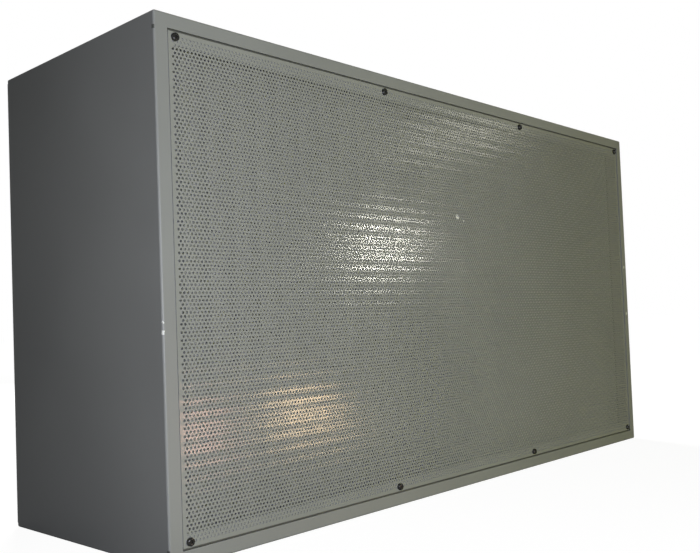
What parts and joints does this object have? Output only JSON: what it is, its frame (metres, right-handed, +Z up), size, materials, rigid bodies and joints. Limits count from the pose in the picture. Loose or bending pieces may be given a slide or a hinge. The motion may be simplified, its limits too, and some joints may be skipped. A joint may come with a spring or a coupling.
{
  "type": "laminar flow hood",
  "caption": "Folded steel cabinet that blows fan-driven, filtered air through a perforated front plate; stands on its long side or hangs from brackets.",
  "frame": {"origin": "centre of the bounding box's underside, on the surface that the long side stands on", "axes": "+X along the long side, +Y from the perforated outlet towards the fan inlet, +Z up along the short side of the outlet"},
  "size_m": [1.1, 0.4338, 0.6],
  "materials": {
    "powder_coat": "grey powder coat with a fine texture",
    "plate_coat": "semi-gloss grey powder coat",
    "black_screw": "black-oxide steel",
    "zinc_steel": "zinc-plated steel",
    "galvanised": "galvanised sheet",
    "aluminium": "mill aluminium",
    "cast_aluminium": "die-cast aluminium",
    "glass_fibre": "white glass-fibre paper",
    "sealant": "cast polyurethane",
    "gasket_rubber": "closed-cell rubber",
    "foam": "open-cell acoustic foam",
    "felt": "white synthetic filter felt",
    "motor_black": "black enamel",
    "black_plastic": "moulded black nylon",
    "grey_plastic": "moulded grey nylon",
    "white_plastic": "moulded ivory nylon",
    "red_plastic": "moulded red switch rocker",
    "brass": "turned brass"
  },
  "bodies": {
    "housing": {"cabinet_shell": "powder_coat", "diffuser_plate": "plate_coat", "diffuser_screws": "black_screw", "filter_ledge": "powder_coat", "filter_gasket": "gasket_rubber", "filter_frame": "aluminium", "filter_sealant": "sealant", "filter_pleats": "glass_fibre", "clamp_brackets": "zinc_steel", "clamp_bolts": "zinc_steel", "panel_seal": "gasket_rubber", "back_panel": "powder_coat", "panel_screws": "zinc_steel", "inlet_nozzle": "galvanised", "motor_bearings": "zinc_steel", "motor_stator": "cast_aluminium", "motor_screws": "zinc_steel", "motor_spider": "galvanised", "support_rods": "zinc_steel", "rubber_mounts": "gasket_rubber", "baffle_board": "galvanised", "baffle_foam": "foam", "baffle_standoffs": "zinc_steel", "foam_liners_long": "foam", "foam_liners_short": "foam", "prefilter_rails": "powder_coat", "prefilter_frame": "aluminium", "prefilter_pleats": "felt", "control_box": "powder_coat", "control_cover": "powder_coat", "cover_screws": "zinc_steel", "speed_regulator": "black_plastic", "regulator_nut": "zinc_steel", "switch_housing": "black_plastic", "gland_body": "grey_plastic", "gland_locknut": "grey_plastic", "gland_dome": "grey_plastic", "run_capacitor": "white_plastic", "terminal_block": "white_plastic", "bracket_bolts": "zinc_steel", "hanging_brackets": "zinc_steel", "rod_bolts": "zinc_steel", "test_port": "brass", "test_port_cap": "brass"},
    "fan_rotor": {"impeller": "cast_aluminium", "rotor_bell": "motor_black", "motor_shaft": "zinc_steel"},
    "knob": {"speed_knob": "black_plastic", "regulator_spindle": "zinc_steel"},
    "rocker": {"switch_rocker": "red_plastic"}
  },
  "joints": [
    {"name": "fan_spin", "type": "hinge", "parent": "housing", "child": "fan_rotor", "pos_m": [0, 0.02025, 0.3], "axis": [0, 1, 0], "continuous": true},
    {"name": "speed_turn", "type": "hinge", "parent": "housing", "child": "knob", "pos_m": [0.343, 0.19995, 0.322], "axis": [0, -1, 0], "range_deg": [0, 270]},
    {"name": "switch_tilt", "type": "hinge", "parent": "housing", "child": "rocker", "pos_m": [0.409, 0.20055, 0.322], "axis": [1, 0, 0], "range_deg": [0, 18]}
  ]
}
